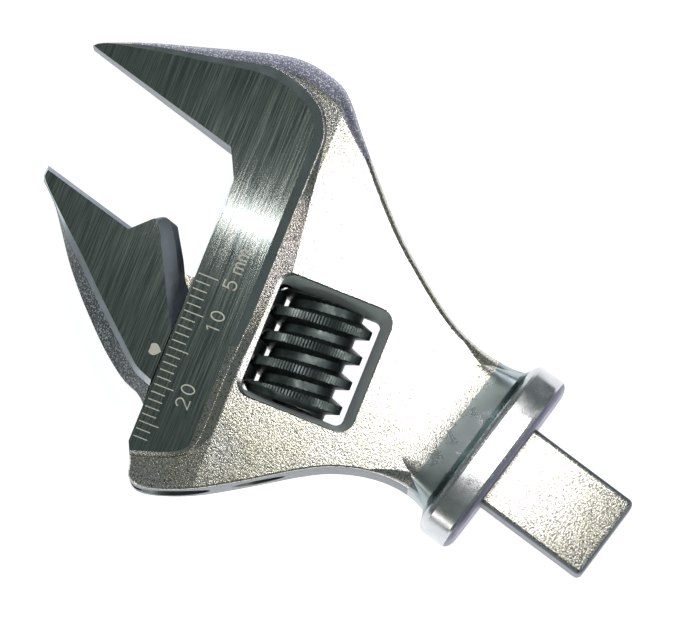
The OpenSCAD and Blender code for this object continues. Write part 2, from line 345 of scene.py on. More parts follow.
# Sizes of the patterns, per metre: colour waves of a forging, wear, and streaks of grinding
SLOW_WAVES = 140.0
WEAR = 420.0
STREAKS = (7600.0, 100.0, 800.0)
FINE_STREAKS = (9000.0, 200.0, 900.0)


def forged(name, color, tint, roughness, grain, depth, fleck=None, metallic=1.0):
    """Forged skin: a fine grain over slow waves, a tint that wanders and, where given, flecks. The
    near-white flecks on the fixed jaw's back and the pale ones on the jaw's flank are painted sparkle.
    """
    material, tree, shader = new_material(name, color, metallic, roughness)
    vector = coords(tree)
    fine = noise(tree, vector, grain, 3.0, 0.6)
    slow = noise(tree, vector, SLOW_WAVES, 2.0)
    base = blend_color(tree, mapped(tree, slow, 0.35, 0.65, 0, 1), color, tint)
    if fleck:
        specks = mapped(tree, noise(tree, vector, grain * 1.3, 1.0), 0.54, 0.64, 0, 1)
        mix = tree.nodes.new("ShaderNodeMix")
        mix.data_type = "RGBA"
        mix.inputs["B"].default_value = (*fleck, 1)
        tree.links.new(base, mix.inputs["A"])
        tree.links.new(specks, mix.inputs["Factor"])
        base = mix.outputs["Result"]
    tree.links.new(base, shader.inputs["Base Color"])
    dull = mapped(tree, fine, 0.3, 0.7, roughness - 0.07, roughness + 0.09)
    tree.links.new(dull, shader.inputs["Roughness"])
    add_bump(tree, shader, [(slow, 0.3, 0.0002), (fine, 0.9, depth)])
    return material


def ground(name, color, tint, roughness, depth):
    """Ground steel: fine streaks along the jaw's travel, which stretch its highlight across them."""
    material, tree, shader = new_material(name, color, 1.0, roughness)
    shader.inputs["Anisotropic"].default_value = 0.6
    across = tree.nodes.new("ShaderNodeCombineXYZ")
    across.inputs["X"].default_value = COS
    across.inputs["Y"].default_value = SIN
    tree.links.new(across.outputs["Vector"], shader.inputs["Tangent"])
    streaks = noise(tree, coords(tree, -SLIDE, STREAKS), 1.0, 4.0, 0.7)
    fine = noise(tree, coords(tree, -SLIDE, FINE_STREAKS), 1.0, 2.0, 0.6)
    base = blend_color(tree, mapped(tree, streaks, 0.4, 0.62, 0, 1), color, tint)
    tree.links.new(base, shader.inputs["Base Color"])
    dull = mapped(tree, streaks, 0.3, 0.7, roughness - 0.03, roughness + 0.07)
    tree.links.new(dull, shader.inputs["Roughness"])
    add_bump(tree, shader, [(streaks, 0.8, depth), (fine, 0.6, depth * 0.5)])
    return material


def plain_metal(name, color, tint, roughness, grain, depth, metallic=1.0):
    """Machined or oxidised metal with a light grain and handling wear."""
    material, tree, shader = new_material(name, color, metallic, roughness)
    vector = coords(tree)
    fine = noise(tree, vector, grain, 3.0, 0.55)
    worn = noise(tree, vector, WEAR, 3.0, 0.6)
    base = blend_color(tree, mapped(tree, worn, 0.45, 0.7, 0, 1), color, tint)
    tree.links.new(base, shader.inputs["Base Color"])
    dull = mapped(tree, worn, 0.3, 0.7, roughness + 0.08, roughness - 0.07)
    tree.links.new(dull, shader.inputs["Roughness"])
    add_bump(tree, shader, [(fine, 0.5, depth)])
    return material


ROUGH = forged("forged_chrome", (0.70, 0.69, 0.66), (0.72, 0.69, 0.58), roughness=0.23,
               grain=4200.0, depth=0.000035, fleck=(0.22, 0.215, 0.19))
# Sides of the forging and edges of the spigot, drawn much darker than its front: painted shade
SHADED_SIDE = forged("forged_side_painted_shade", (0.13, 0.155, 0.18), (0.16, 0.175, 0.19), roughness=0.4,
              grain=3600.0, depth=0.00002)
# Back of the fixed jaw, drawn darker than the front as painted shade, with near-white flecks as painted
# sparkle
SHADED_SPINE = forged("forged_spine_painted_shade_and_sparkle", (0.27, 0.28, 0.34), (0.32, 0.32, 0.38), roughness=0.42,
               grain=4200.0, depth=0.00006, fleck=(0.9, 0.9, 1.0))
BAND = plain_metal("smooth_band", (0.34, 0.40, 0.40), (0.40, 0.45, 0.46), roughness=0.3,
                   grain=5200.0, depth=0.000004)
BEVEL = plain_metal("jaw_bevel", (0.50, 0.56, 0.62), (0.60, 0.62, 0.64), roughness=0.42,
                    grain=5200.0, depth=0.00001)
RIM = plain_metal("flange_chrome", (0.60, 0.62, 0.63), (0.66, 0.66, 0.68), roughness=0.26,
                  grain=5200.0, depth=0.00001)
# The flange's shoulder at the spigot's root, drawn dark: painted shade
SHADED_SHOULDER = plain_metal("flange_shoulder_painted_shade", (0.16, 0.16, 0.22), (0.20, 0.19, 0.25), roughness=0.35,
                       grain=5200.0, depth=0.00001)
LAND = ground("ground_face", (0.20, 0.25, 0.24), (0.42, 0.47, 0.43), roughness=0.15, depth=0.000006)
INNER = plain_metal("machined_bore", (0.16, 0.19, 0.18), (0.25, 0.27, 0.26), roughness=0.45,
                    grain=5000.0, depth=0.00002)
WALL = forged("window_wall", (0.60, 0.68, 0.66), (0.62, 0.66, 0.68), roughness=0.7,
              grain=3600.0, depth=0.00003, metallic=0.5)
# Flank of the movable jaw, drawn near-black as painted shade, with pale flecks as painted sparkle
SHADED_FLANK = forged("jaw_flank_painted_shade", (0.022, 0.028, 0.03), (0.035, 0.04, 0.04), roughness=0.38,
               grain=3600.0, depth=0.00005, fleck=(0.24, 0.27, 0.28))
OXIDE = plain_metal("black_oxide", (0.085, 0.105, 0.10), (0.20, 0.225, 0.22), roughness=0.4,
                    grain=5200.0, depth=0.00002)
# The rack's teeth inside the worm's window, drawn near-black: painted shade
SHADED_RACK = plain_metal("rack_steel_painted_shade", (0.07, 0.08, 0.08), (0.12, 0.13, 0.13), roughness=0.5,
                   grain=5200.0, depth=0.00002)
SPRING = plain_metal("spring_steel", (0.42, 0.44, 0.46), (0.5, 0.5, 0.5), roughness=0.3,
                     grain=6000.0, depth=0.00001)
HARD = plain_metal("hardened_steel", (0.30, 0.32, 0.34), (0.4, 0.41, 0.42), roughness=0.32,
                   grain=6000.0, depth=0.00001)
MARKS = plain_metal("pale_marks", (0.80, 0.79, 0.66), (0.70, 0.70, 0.60), roughness=0.55,
                    grain=6000.0, depth=0.00001, metallic=0.4)


# ---------------------------------------------------------------- body

BACK_EDGE = [(76.4, FACE_Y), (75.4, -12.8), (70.5, -16.4), (65.6, -19.5), (60.6, -22.6), (55.9, -25.3),
             (52.8, -26.5), (49.4, -26.9), (46.6, -26.6), (44, -25.2), (40.3, -22.6), (30.9, -16.6),
             (24.4, -13.4), (17.4, -10.7), (12.6, -9.9), (9, -10.1), (6.4, -10.7), (4, -11.8)]
HEEL_EDGE = [(4, 11.6), (6.5, 10.6), (10, 10.5), (14, 11.6), (18, 13.9), (21.3, 16.9), (25.8, 21.9),
             (30.3, 26.6), (34.2, 29.7), (37, 31.1), (38.7, 30.7), (39.6, 29.2), on_slide(EDGE_P, 15.4)]
THROAT_TOP = (53.8, FACE_Y)
THROAT_END = on_slide(EDGE_P, -21.2)

# Steps of the edges' rounding, its width at the throat, and how far the blank stands above the cuts
EDGE_STEPS = 16
THROAT_BREAK = 0.28
PROUD = 0.02


def on_jaw_back(x, y):
    """Whether a place on the head is at the back of the fixed jaw."""
    return x > 38 and y < -15


def edge_round(x, y):
    """Width and depth of the rounding along the head's edge at a place on it."""
    if on_jaw_back(x, y):
        width = ramp(x, [(38, 1.0), (44, 2.2), (48, 3.0), (62, 2.8), (70, 1.5), (75, 0.5)])
        return width, 0.8 * width
    far_width = 1.0 if y < 0 else 0.45
    width = ramp(x, [(4, 5.0), (8, 3.0), (14, far_width)])
    depth = ramp(x, [(4, 3.6), (8, 2.0), (14, 0.9 * far_width)])
    return width, depth


def body_blank():
    """The head's outline with rounded edges, left too thick, to be cut by the faces' tools."""
    outline = smooth(BACK_EDGE, 8) + smooth(HEEL_EDGE, 8)
    loop = outline + resample([outline[-1], THROAT_END], 6)[1:] + [THROAT_TOP]
    loop += resample([THROAT_TOP, outline[0]], 8)[1:-1]
    throat_from = len(outline) - 1
    normals = inward(loop)
    levels = []
    for k in range(EDGE_STEPS + 1):
        a = math.radians(90) * k / EDGE_STEPS
        ring = []
        for i, (x, y) in enumerate(loop):
            width, depth = edge_round(x, y) if i < throat_from else (THROAT_BREAK, THROAT_BREAK)
            inset = width * (1 - math.cos(a))
            px = x + normals[i][0] * inset
            py = y + normals[i][1] * inset
            ring.append((px, py, rough_z(px, py) + PROUD - depth * (1 - math.sin(a))))
        levels.append(ring)
    levels.append([(x, y, HALF_T + 2) for x, y, _ in levels[-1]])
    return loft("wrench_body", both_sides(levels), ROUGH)


def rough_tool():
    """Everything above the forged face."""
    reach = 60
    top = 20
    end = ROUGH_P + reach
    profile = [(-reach, HALF_T), (ROUGH_P, HALF_T), (end, HALF_T - reach * ROUGH_SLOPE),
               (end, top), (-reach, top)]
    return prism("rough_tool", profile, at_height, -reach, reach, ROUGH)


JAW_GROUND = [(78, -11.4), (73.1, -14), (69.3, -15.9), (63.4, -18.6), (59.8, -20.3), (56.4, -21.7),
              (54, -22.2), (51.2, -22.2), (48.4, -21.5), (46.6, -20)]


# Width of the ledge between the two steps of a ground face's shoulder
LEDGE = 0.13


def ground_steps(x, y):
    """Offset and rise of both steps of the shoulder at a place on a ground face's border."""
    p = slide_p(x, y)
    s = slide_s(x, y)
    if p > LAND_P + 0.1 and s < -20:
        narrow = ramp(x, [(48, 1.0), (66, 0.9), (76, 0.35)])
        rise = ramp(p, [(LAND_P + 0.1, 0.83), (LAND_P + 4, 0.66)])
        return (1.25 * narrow, 0.44), (1.8 * narrow, rise)
    upper = 1.3 + ramp(s, [(-30, 0.5), (-16, 2.6), (-12, 3.2)])
    first = ramp(s, [(-6, 1.3), (2, 0.9), (11, 0.9), (14, 0.45)])
    second = ramp(s, [(-12, upper), (0, 2.35), (11, 2.35), (14, 0.9)])
    first_rise = ramp(s, [(-6, 0.42), (2, 0.25)])
    second_rise = ramp(s, [(11, 0.83), (14, 0.72)])
    return (first, first_rise), (second, second_rise)


def ground_tool():
    """Everything above a ground face, with the shoulder that rises round it."""
    heel_s = 12.0
    inner = resample([on_slide(LAND_P, -29), on_slide(LAND_P, heel_s)], 42)
    heel = smooth([on_slide(LAND_P, heel_s), on_slide(LAND_P + 0.25, 13.4), on_slide(LAND_P + 1.2, 14.3),
                   on_slide(43, 15.4), on_slide(50, 17.6)], 5)
    jaw = smooth(JAW_GROUND + [on_slide(LAND_P + 0.05, -30.2)], 6)
    loop = jaw[:-1] + inner + heel[1:] + [(80, 40), (80, FACE_Y)]
    normals = inward(loop)
    closing = len(loop) - 3
    rings = [[] for _ in range(5)]
    for i, (x, y) in enumerate(loop):
        (first, low), (second, high) = ground_steps(x, y)
        if i > closing:
            first = second = 0.0
        ledge = min(LEDGE, (second - first) / 2)
        steps = [(0, 0), (first, low), (first + ledge, low + 0.01), (second, high + 0.02),
                 (second, high + 2.5)]
        for ring, (offset, rise) in zip(rings, steps):
            ring.append((x - normals[i][0] * offset, y - normals[i][1] * offset, ground_z(x, y) + rise))
    rings.append([(x, y, HALF_T * 2) for x, y, _ in rings[-1]])
    tool = loft("ground_tool", rings, BAND)
    tool.data.materials.append(LAND)
    tool.data.materials.append(ROUGH)
    inner_from = len(jaw) - 1
    count = len(loop)
    walls = len(rings) - 1
    for j in range(walls):
        for i in range(count):
            near_heel = i >= inner_from and slide_s(*loop[i]) > -1
            tool.data.polygons[j * count + i].material_index = 2 if (j > 0 or near_heel) else 0
    tool.data.polygons[walls * count].material_index = 1
    return tool


def rounded_box(p0, p1, s0, s1, radius, steps=6):
    """Rounded rectangle in the slide frame."""
    loop = []
    for cp, cs, start in ((p1 - radius, s1 - radius, 0), (p0 + radius, s1 - radius, 90),
                          (p0 + radius, s0 + radius, 180), (p1 - radius, s0 + radius, 270)):
        for k in range(steps + 1):
            a = math.radians(start + 90 * k / steps)
            loop.append((cp + radius * math.cos(a), cs + radius * math.sin(a)))
    return loop


def window_tool():
    """The worm's window, drafted outwards to both faces, with a broken rim at each."""
    inner = rounded_box(p0=22.2, p1=36.4, s0=-11.4, s1=3.4, radius=1.0)
    lip = rounded_box(p0=20.75, p1=36.25, s0=-12.65, s1=4.35, radius=1.9)
    outer = rounded_box(p0=20.6, p1=37.0, s0=-12.8, s1=4.5, radius=2.2)
    beyond = [(2 * o[0] - i[0], 2 * o[1] - i[1]) for i, o in zip(lip, outer)]
    half = [(2.4, inner), (6.55, lip), (HALF_T, outer), (7.45, beyond)]
    stops = [(-z, loop) for z, loop in reversed(half)] + half
    tool = loft("window_tool", [[at_height(p, z, s) for p, s in loop] for z, loop in stops], WALL)
    tool.data.materials.append(ROUGH)
    count = len(inner)
    rims = (0, 1, 5, 6)
    for j in rims:
        for i in range(count):
            tool.data.polygons[j * count + i].material_index = 1
    return tool


FLANGE_LEN = 5.2
FLANGE_HALF_W = 13.25
FLANGE_HALF_T = 9
FLANGE_POWER = 0.55
# Place along the flange and inset of its outline there
FLANGE_STOPS = [(0, 1.15), (0.12, 0.8), (0.35, 0.42), (0.7, 0.12), (1.05, 0.0), (1.8, 0.0), (2.8, 0.0),
                (4.1, 0.0), (4.45, 0.14), (4.8, 0.45), (5.05, 0.9), (FLANGE_LEN, 1.4)]
# The shoulder, drawn dark at the spigot's root as painted shade, and the bright rim end here
SHOULDER_X = 0.75
RIM_X = 5.0

NECK_HALF_W = 8.9
NECK_HALF_T = 6.97
NECK_POWER = 0.12
FILLET_LEN = 8.2
FILLET_STEPS = 16


def oval(x, waist, height, power, sides=96):
    """Oval slice across the shank, squarer for a smaller power."""
    ring = []
    for i in range(sides):
        a = 2 * math.pi * i / sides
        c, s = math.cos(a), math.sin(a)
        y = waist * math.copysign(abs(c) ** power, c)
        z = height * math.copysign(abs(s) ** power, s)
        ring.append((x, y, z))
    return ring


def flange_tool():
    """Oval flange with rounded rims, run out into the neck by a hollow fillet."""
    rings = [oval(x, FLANGE_HALF_W - inset, FLANGE_HALF_T - inset, FLANGE_POWER)
             for x, inset in FLANGE_STOPS]
    for k in range(1, FILLET_STEPS + 1):
        t = k / FILLET_STEPS
        hollow = (1 - t) ** 2
        rings.append(oval(FLANGE_LEN + FILLET_LEN * t, NECK_HALF_W + 2.2 * hollow,
                          NECK_HALF_T + 1.5 * hollow, NECK_POWER + 0.3 * hollow))
    tool = loft("flange_tool", rings, ROUGH)
    tool.data.materials.append(RIM)
    tool.data.materials.append(SHADED_SHOULDER)
    # Faces nearest the spigot take the dark shoulder paint, which is painted shade
    for face in tool.data.polygons:
        if face.center.x < SHOULDER_X * MM:
            face.material_index = 2
        elif face.center.x < RIM_X * MM:
            face.material_index = 1
    return tool


SPIGOT_HALF_W = 6
SPIGOT_HALF_T = 4.5
SPIGOT_CORNER = 0.6
# Place along the spigot and inset of its outline there
SPIGOT_STOPS = [(1, 0), (-15.3, 0.0), (-15.6, 0.1), (-15.85, 0.3), (-16, 0.62)]


def spigot_slice(x, inset):
    """Rectangular slice across the spigot, with round corners."""
    width = SPIGOT_HALF_W - inset - SPIGOT_CORNER
    height = SPIGOT_HALF_T - inset - SPIGOT_CORNER
    ring = []
    for across, up, start in ((1, 1, 0), (-1, 1, 90), (-1, -1, 180), (1, -1, 270)):
        for k in range(5):
            a = math.radians(start + 90 * k / 4)
            y = across * width + SPIGOT_CORNER * math.cos(a)
            z = up * height + SPIGOT_CORNER * math.sin(a)
            ring.append((x, y, z))
    return ring


def spigot_tool():
    """Rectangular spigot with softly broken edges."""
    return loft("spigot_tool", [spigot_slice(x, inset) for x, inset in SPIGOT_STOPS], ROUGH)


# How level a face can be, from 0 upright to 1 flat, and still be painted as one of these
LEVEL_SIDE = 0.3
LEVEL_EDGE = 0.4
LEVEL_SPIGOT = 0.93
LEVEL_SPINE = 0.985
# The smooth neck beside the flange ends here
BAND_X = 8.8


def near_window(p, s):
    """Whether a place is beside or inside the worm's window."""
    return 20 < p < ROUGH_P and abs(s - WORM_MID_S) < 8.6


def paint_sides(body):
    """Paints the sides and the spigot's edges, the back of the fixed jaw and the smooth neck. The sides,
    edges and back are drawn darker than the forged face as painted shade.
    """
    mesh = body.data
    mesh.materials.append(SHADED_SIDE)
    mesh.materials.append(SHADED_SPINE)
    names = [m.name for m in mesh.materials]
    rough, band, side, spine = (names.index(m.name) for m in (ROUGH, BAND, SHADED_SIDE, SHADED_SPINE))
    for face in mesh.polygons:
        x = face.center.x / MM
        y = face.center.y / MM
        level = abs(face.normal.z)
        if face.material_index != rough or near_window(slide_p(x, y), slide_s(x, y)):
            continue
        # Upright faces and the spigot's edges take the dark side paint, and the tilted back of the fixed
        # jaw takes the spine paint: both are painted shade
        if x < 0:
            if level < LEVEL_SPIGOT:
                face.material_index = side
        elif x < BAND_X:
            face.material_index = band
        elif level < LEVEL_SIDE:
            face.material_index = side
        elif on_jaw_back(x, y) and level < LEVEL_SPINE:
            face.material_index = spine
        elif level < LEVEL_EDGE:
            face.material_index = side


SLOT_HALF = 2.32


def body_holes():
    """Tools for the window, the rack's bore and slot, the worm's axle and the detent."""
    past_edge = 70
    slot = [(RACK_P, -SLOT_HALF), (past_edge, -SLOT_HALF), (past_edge, SLOT_HALF), (RACK_P, SLOT_HALF)]
    return [
        window_tool(),
        cylinder("bore", at_height(RACK_P, 0, -28.5), at_height(RACK_P, 0, FAR),
                 radius=4.56, sides=96, material=INNER),
        prism("slot", slot, at_height, -20.6, FAR, INNER),
        cylinder("screw_hole", at_height(WORM_P, 0, 0), at_height(WORM_P, 0, FAR),
                 radius=3.03, sides=64, material=INNER),
        cylinder("axle_hole", at_height(WORM_P, 0, 0.5), at_height(WORM_P, 0, -16.1),
                 radius=2.23, sides=48, material=INNER),
        cylinder("detent_bore", (-8, 0, -6), (-8, 0, 3), radius=2.25, sides=48, material=INNER),
        cylinder("cross_bore", (-5.55, -7, -1.2), (-5.55, 4.0, -1.2),
                 radius=0.77, sides=32, material=INNER),
    ]


def keep_in_cad_box(obj):
    """Moves any point of a mesh that is outside the CAD's box onto it."""
    low, high = CAD_BOX
    for v in obj.data.vertices:
        v.co = [min(max(c, a), b) for c, a, b in zip(v.co, low, high)]


def build_body():
    """The forging: fixed jaw, head, neck, flange and spigot."""
    body = body_blank()
    rough = rough_tool()
    land = ground_tool()
    combine(body, [mirrored(rough), rough, mirrored(land), land], "DIFFERENCE")
    combine(body, [flange_tool(), spigot_tool()], "UNION")
    combine(body, body_holes(), "DIFFERENCE")
    finish_mesh(body, 10)
    keep_in_cad_box(body)
    paint_sides(body)
    return body


# ---------------------------------------------------------------- movable jaw

THROAT_OUTER = [(55.69, 1.0), (55.51, 0.79), (55.27, 0.65), (55.0, 0.6), (53.7, 0.6), (53.45, 0.64),
                (53.23, 0.75), (53.05, 0.93)]
THROAT_CREASE = [(56.0, 1.45), (55.8, 1.15), (55.5, 0.88), (55.2, 0.74), (54.75, 0.68), (54.55, 0.7),
                 (54.4, 0.76), (54.25, 0.87)]
THROAT_GROUND = [(56.35, 1.95), (56.2, 1.8), (56.0, 1.73), (55.8, 1.74), (55.6, 1.8), (55.45, 1.9),
                 (55.3, 2.05), (55.15, 2.2)]
FLANK_OUTER = [on_slide(PLATE_P, 10), (44.6, 21.1), (47.2, 20.8), (51.5, 19.1), (56.1, 16.6), (58.9, 14.9),
               (62.1, 12.7), (65.5, 9.9), (68.2, 7.8), (71, 6.3)]
FLANK_GROUND = [on_slide(PLATE_P, 7.0), (44.9, 18.85), (46.5, 18.6), (48.6, 17.6), (53.6, 15.1),
                (57.3, 13.2), (61.2, 11.1), (65.1, 9.2), (68.9, 7.25), (70.6, 6.3)]
# Half heights of the throat's crease, of the throat's side and of the flank's side
CREASE_Z = 3.6
SIDE_Z = 2.2
FLANK_Z = 1.2
SLOPE_POINTS = 10
FLANK_POINTS = 34
FLANK_BEVEL = 0.75
FLANK_DROP = 0.42
TIP_DROP = 0.8
# At each corner of the tip: the side, the crease and the ground face
TIP = [((71.5, 5.6), (71.32, 5.8), (71.1, 5.85)),
       ((71.6, JAW_FACE_Y), (71.6, JAW_FACE_Y), (71.25, 4.95))]


def jaw_plate():
    """Plate of the movable jaw: its ground faces stand inside bevelled and drafted sides."""
    outer = [(57.9, JAW_FACE_Y, SIDE_Z)] + [(x, y, SIDE_Z) for x, y in THROAT_OUTER]
    crease = [(57.95, 4.42, CREASE_Z)] + [(x, y, CREASE_Z) for x, y in THROAT_CREASE]
    top = [(58.1, 4.95)] + THROAT_GROUND
    low = resample([THROAT_OUTER[-1], (50.2, 3.6), (48.2, 5.8), on_slide(PLATE_P, -6)], SLOPE_POINTS)
    mid = resample([THROAT_CREASE[-1], (52, 2.8), (50.2, 4.8), (49.1, 5.9), (47.8, 7.7),
                    on_slide(PLATE_P, -2.7)], SLOPE_POINTS)
    high = resample([THROAT_GROUND[-1], (54, 3.4), (51.9, 5.7), (49.75, 7.95), (47.5, 10.4),
                     on_slide(PLATE_P, 0.1)], SLOPE_POINTS)
    outer += [(x, y, SIDE_Z) for x, y in low[1:]]
    crease += [(x, y, CREASE_Z) for x, y in mid[1:]]
    top += high[1:]
    flank_from = len(outer)
    flank_low = resample(smooth(FLANK_OUTER, 4), FLANK_POINTS)
    flank_high = resample(smooth(FLANK_GROUND, 4), FLANK_POINTS)
    for (x, y), (gx, gy) in zip(flank_low, flank_high):
        share = min(0.5, FLANK_BEVEL / math.hypot(x - gx, y - gy))
        bx = gx + share * (x - gx)
        by = gy + share * (y - gy)
        outer.append((x, y, FLANK_Z))
        crease.append((bx, by, ground_z(bx, by) - FLANK_DROP))
        top.append((gx, gy))
    flank_to = len(outer)
    for (x, y), (bx, by), (gx, gy) in TIP:
        outer.append((x, y, FLANK_Z))
        crease.append((bx, by, ground_z(bx, by) - TIP_DROP))
        top.append((gx, gy))
    top = [(x, y, ground_z(x, y)) for x, y in top]
    rings = both_sides([outer, crease, top])
    plate = loft("movable_jaw_plate", rings, BEVEL)
    plate.data.materials.append(LAND)
    plate.data.materials.append(SHADED_FLANK)
    count = len(outer)
    # The flank's faces outside the creases take the near-black flank paint, which is painted shade
    outside_creases = (1, 2, 3)
    for j in outside_creases:
        for i in range(flank_from, flank_to):
            plate.data.polygons[j * count + i].material_index = 2
    walls = len(rings) - 1
    for cap in (0, 1):
        plate.data.polygons[walls * count + cap].material_index = 1
    return plate


RACK_FROM_S = -16
RACK_TO_S = 8.4
# Half width of a gap between rack teeth, at its mouth and at its root
GAP_MOUTH = 1.34
GAP_ROOT = 0.7


def rack_gap(crest_s):
    """Gap between two rack teeth round a crest of the thread, turned by the thread's lead angle."""
    lead = math.atan(WORM_PITCH / (2 * math.pi * WORM_R))
    root = WORM_P + WORM_R + 0.3
    mouth = RACK_P - RACK_R - 0.5
    loop = [(mouth, -GAP_MOUTH), (root, -GAP_ROOT), (root, GAP_ROOT), (mouth, GAP_MOUTH)]

    def turned(p, s, z):
        along = crest_s + s * math.cos(lead) - z * math.sin(lead)
        return (*on_slide(p, along), s * math.sin(lead) + z * math.cos(lead))

    return prism("rack_gap", loop, turned, -6, 6, SHADED_RACK)


def build_jaw():
    """The movable jaw: its plate, web and toothed round rack."""
    plate = jaw_plate()
    rack = cylinder("rack", at_height(RACK_P, 0, RACK_FROM_S), at_height(RACK_P, 0, RACK_TO_S),
                    radius=RACK_R, sides=72, material=SHADED_RACK)
    gaps = [rack_gap(-CREST_DATUM - k * WORM_PITCH) for k in range(-3, 5)]
    combine(rack, gaps, "DIFFERENCE")
    root_p = EDGE_P - 0.5
    plate_p = EDGE_P + 1.4
    profile = [(RACK_P, RACK_TO_S), (RACK_P, -9), (43.2, -9), (root_p, -7.8), (plate_p, -7.8),
               (plate_p, RACK_TO_S)]
    web = prism("web", profile, lambda p, s, z: at_height(p, z, s), -SIDE_Z, SIDE_Z, ROUGH)
    combine(plate, [web, rack], "UNION")
    return finish_mesh(plate, 9)


# ---------------------------------------------------------------- worm

KNURL_TEETH = 96
KNURL_DEPTH = 0.16
# How sharply the thread's wave rises. It is cut off at 1 and -1, which are the crest and the root
THREAD_STEEP = 1.9
# The worm's ends are chamfered from this radius by this much for each millimetre from the end
END_R = 5.75
END_SLOPE = 1.1
COUNTERBORE_R = 3.5
COUNTERBORE_DEPTH = 5
COUNTERBORE_BREAK = 0.25
WORM_HOLE_R = 2.26


def worm_radius(a, z):
    """Radius of the thread, with its knurled crest, at an angle and a height."""
    wave = THREAD_STEEP * math.cos(2 * math.pi * (z - CREST_DATUM - WORM_MID_S) / WORM_PITCH - a)
    level = max(-1.0, min(1.0, wave))
    r = (WORM_R + WORM_ROOT_R) / 2 + level * (WORM_R - WORM_ROOT_R) / 2
    crest = max(0.0, min(1.0, (wave - 0.7) / 0.3))
    r -= KNURL_DEPTH * crest * (0.5 - 0.5 * math.cos(KNURL_TEETH * a))
    from_end = WORM_LEN / 2 - abs(z)
    return min(r, END_R + END_SLOPE * from_end)


def build_worm():
    """The worm: thread and knurl outside, and a counterbore and the pin's hole inside."""
    sides = 4 * KNURL_TEETH
    rows = 150
    turn = [2 * math.pi * i / sides for i in range(sides)]
    rings = []
    for j in range(rows + 1):
        z = WORM_LEN * (j / rows - 0.5)
        rings.append([(worm_radius(a, z), a, z) for a in turn])
    half = WORM_LEN / 2
    seat = half - COUNTERBORE_DEPTH
    for r, z in ((COUNTERBORE_R + COUNTERBORE_BREAK, half), (COUNTERBORE_R, half - COUNTERBORE_BREAK),
                 (COUNTERBORE_R, seat), (WORM_HOLE_R, seat), (WORM_HOLE_R, -half)):
        rings.append([(r, a, z) for a in turn])
    verts = []
    for ring in rings:
        for r, a, z in ring:
            verts.append(at_height(WORM_P + r * math.cos(a), r * math.sin(a), WORM_MID_S - z))
    faces = []
    for j in range(len(rings)):
        m = (j + 1) % len(rings)
        for i in range(sides):
            n = (i + 1) % sides
            faces.append((j * sides + i, j * sides + n, m * sides + n, m * sides + i))
    worm = make("knurled_worm", verts, faces, OXIDE)
    worm.data.shade_smooth()
    worm.data.set_sharp_from_angle(angle=math.radians(38))
    return worm


# ---------------------------------------------------------------- scale

SCALE_FIRST = 5
SCALE_LAST = 27
# Where the pointer stands at rest, and what it reads
POINTER_S = 3.1
POINTER_MM = 16
# How far the marks' ribbons stand above the ground face and reach into it
MARK_RISE = 0.012
MARK_ROOT = 0.03
TICK_P = EDGE_P - 0.3
TICK_LEN = 1.95
LONG_TICK_LEN = 2.7
TICK_WIDTH = 0.14
GLYPH_WIDTH = 0.17


def tick_s(value):
    """Place along the travel of the mark for an opening in millimetres."""
    return POINTER_S + (value - POINTER_MM) / COS


def stroke(points, width, closed=False):
    """Left and right edges of a mitred stroke along points of the slide frame."""
    line = np.array(points, float)
    ahead = np.roll(line, -1, axis=0) - line
    if not closed:
        ahead[-1] = ahead[-2]
    ahead /= np.linalg.norm(ahead, axis=1)[:, None]
    normal = np.stack([-ahead[:, 1], ahead[:, 0]], axis=1)
    before = np.roll(normal, 1, axis=0)
    if not closed:
        before[0] = normal[0]
    mitre = normal + before
    mitre /= np.linalg.norm(mitre, axis=1)[:, None]
    stretch = 1 / np.maximum(0.6, np.sum(mitre * normal, axis=1))
    side = mitre * stretch[:, None] * width / 2
    return line + side, line - side


def add_stroke(verts, faces, points, width, closed=False):
    """Adds a thin raised ribbon that follows the ground face."""
    left, right = stroke(points, width, closed)
    base = len(verts)
    for a, b in zip(left, right):
        for p, s in (a, b):
            x, y = on_slide(p, s)
            verts.append((x, y, ground_z(x, y) + MARK_RISE))
            verts.append((x, y, ground_z(x, y) - MARK_ROOT))
    count = len(left)
    for i in range(count if closed else count - 1):
        a = base + 4 * i
        b = base + 4 * ((i + 1) % count)
        faces.append((a, a + 2, b + 2, b))
        faces.append((a + 1, b + 1, b + 3, a + 3))
        faces.append((a, b, b + 1, a + 1))
        faces.append((a + 2, a + 3, b + 3, b + 2))
    if not closed:
        end = base + 4 * (count - 1)
        faces.append((base, base + 1, base + 3, base + 2))
        faces.append((end, end + 2, end + 3, end + 1))


def arc(cx, cy, rx, ry, start, stop, steps):
    """Points of an elliptic arc, in degrees."""
    turn = [math.radians(start + (stop - start) * k / steps) for k in range(steps + 1)]
    return [(cx + rx * math.cos(a), cy + ry * math.sin(a)) for a in turn]


# Strokes of each glyph and whether each is closed. u is the reading direction and v is up, in
# millimetres, from the glyph's centre
GLYPHS = {
    "0": [(arc(0, 0, 0.56, 0.88, 0, 345, 23), True)],
    "1": [([(-0.3, 0.55), (0.1, 0.88), (0.1, -0.9)], False)],
    "2": [(arc(0, 0.36, 0.54, 0.52, 170, -35, 12) + [(-0.58, -0.86), (0.62, -0.86)], False)],
    "5": [([(0.5, 0.86), (-0.38, 0.86), (-0.46, 0.08)]
           + arc(-0.02, -0.3, 0.56, 0.56, 130, -150, 14), False)],
    "m": [([(-0.72, -0.88), (-0.72, 0.32)], False),
          (arc(-0.38, -0.06, 0.34, 0.36, 165, 0, 7) + [(-0.04, -0.88)], False),
          (arc(0.3, -0.06, 0.34, 0.36, 165, 0, 7) + [(0.64, -0.88)], False)],
}
LABEL_P = 42.3
# Mark's value, glyph, and how far along the reading direction it stands from that mark
LABELS = [(5, "5", 0.0), (5, "m", 2.5), (5, "m", 4.3), (10, "1", -0.95), (10, "0", 0.8),
          (20, "2", -1.05), (20, "0", 0.85)]


